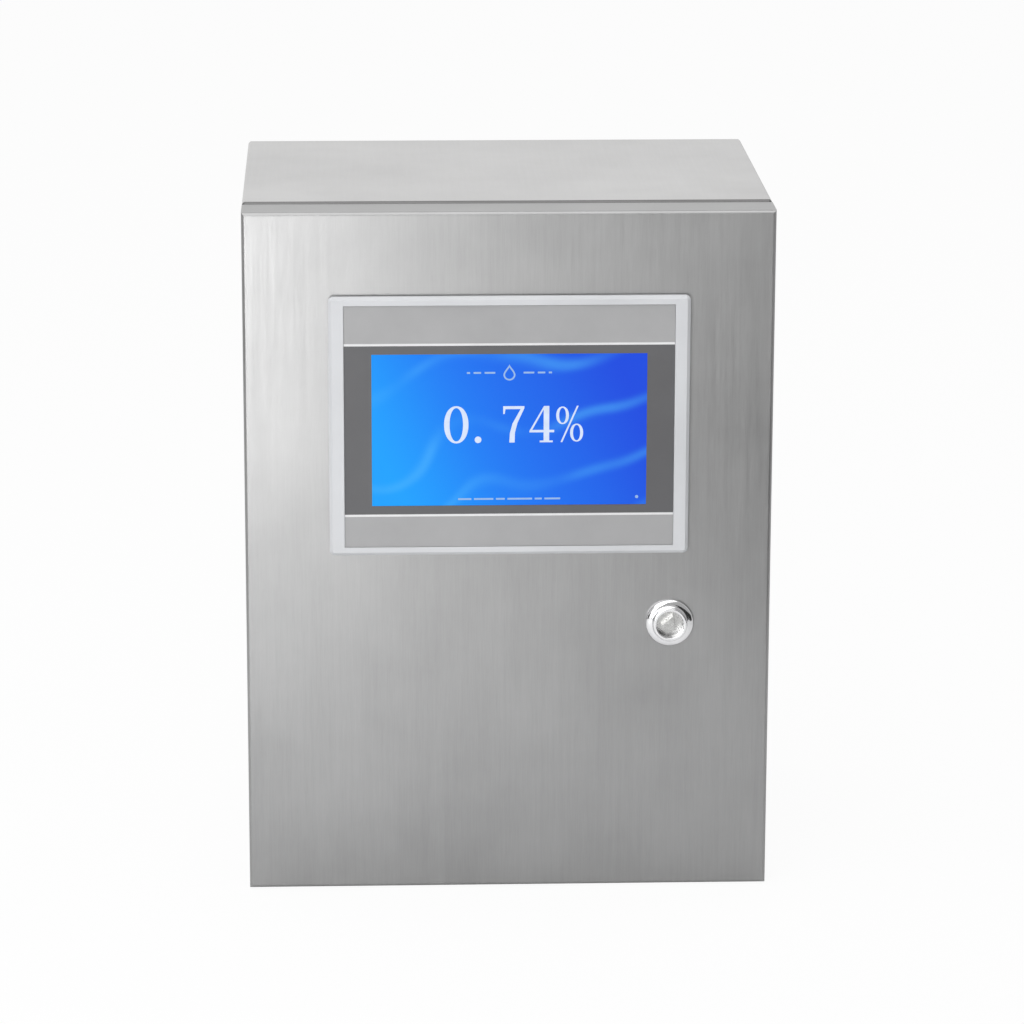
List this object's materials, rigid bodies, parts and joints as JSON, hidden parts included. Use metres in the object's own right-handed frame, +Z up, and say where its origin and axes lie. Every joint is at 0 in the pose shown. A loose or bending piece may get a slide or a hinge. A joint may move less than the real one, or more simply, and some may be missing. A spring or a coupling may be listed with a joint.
{
  "type": "moisture analyzer",
  "caption": "Stainless wall cabinet of a moisture analyzer: hinged door with panel display and triangular-key lock, and rail-mounted electronics inside.",
  "frame": {"origin": "centre of the whole object's outline, on the surface that it stands on", "axes": "+X to the right seen from the front, -Y out of the door's front face, +Z up"},
  "size_m": [0.3, 0.234, 0.4],
  "materials": {
    "brushed_stainless": "vertical brushed grain",
    "zinc_steel": "bright zinc plated sheet",
    "zinc_fasteners": "bright zinc plated",
    "bezel_silver": "fine satin silver-grey moulding",
    "front_film": "grey printed front film",
    "screen_glass": "clear touch glass over a lit blue display",
    "display_black": "black display module",
    "housing_black": "fine textured black moulding",
    "board_green": "green solder resist",
    "connector_metal": "plated connector shells",
    "plug_green": "green pluggable terminals",
    "black_rubber": "black foam and rubber seals",
    "chrome_lock": "bright chrome",
    "duct_grey": "grey slotted duct",
    "breaker_white": "light grey moulding",
    "toggle_black": "black moulding",
    "supply_metal": "satin sheet case",
    "supply_front": "dark grey cover",
    "module_grey": "light grey moulding",
    "module_front": "dark blue cover",
    "socket_metal": "nickel plated shells",
    "entry_grey": "dark grey moulded frame",
    "terminal_grey": "grey terminal housings",
    "earth_green": "green terminal housings"
  },
  "bodies": {
    "cabinet": {"cabinet_shell": "brushed_stainless", "back_panel": "brushed_stainless", "plate_studs": "zinc_fasteners", "mounting_plate": "zinc_steel", "din_rail_upper": "zinc_steel", "din_rail_lower": "zinc_steel", "wire_duct_left": "duct_grey", "wire_duct_right": "duct_grey", "wire_duct_middle": "duct_grey", "duct_cover_left": "duct_grey", "duct_cover_right": "duct_grey", "duct_cover_middle": "duct_grey", "breaker_case": "breaker_white", "power_supply_case": "supply_metal", "power_supply_cover": "supply_front", "power_supply_terminals": "plug_green", "measuring_module_case": "module_grey", "measuring_module_front": "module_front", "module_terminal_plugs": "plug_green", "sensor_sockets": "socket_metal", "terminal_blocks": "terminal_grey", "earth_terminals": "earth_green", "end_brackets": "terminal_grey", "cable_entry_frame": "entry_grey", "cable_entry_gasket": "black_rubber", "cable_grommets": "black_rubber", "body_earth_stud": "zinc_fasteners", "hinge_body_leaves": "zinc_steel", "hinge_pins": "zinc_fasteners"},
    "breaker_lever": {"breaker_toggle": "toggle_black"},
    "door": {"door_panel": "brushed_stainless", "door_gasket": "black_rubber", "door_earth_stud": "zinc_fasteners", "hinge_door_leaves": "zinc_steel", "display_bezel": "bezel_silver", "display_overlay": "front_film", "touch_glass": "screen_glass", "display_module": "display_black", "display_gasket": "black_rubber", "display_housing": "housing_black", "display_mainboard": "board_green", "display_ports": "connector_metal", "display_power_plug": "plug_green", "display_clamps": "housing_black", "lock_housing": "chrome_lock", "lock_nut": "zinc_fasteners"},
    "lock": {"lock_rotor": "chrome_lock", "lock_cam": "zinc_steel", "cam_screw": "zinc_fasteners"}
  },
  "joints": [
    {"name": "door_hinge", "type": "hinge", "parent": "cabinet", "child": "door", "pos_m": [-0.144, -0.092, 0.2], "axis": [0, 0, -1], "range_deg": [0, 110]},
    {"name": "lock_turn", "type": "hinge", "parent": "door", "child": "lock", "pos_m": [0.0924, -0.1, 0.1594], "axis": [0, -1, 0], "range_deg": [0, 90]},
    {"name": "breaker_switch", "type": "hinge", "parent": "cabinet", "child": "breaker_lever", "pos_m": [-0.0155, 0.0253, 0.292], "axis": [1, 0, 0], "range_deg": [0, 76]}
  ]
}
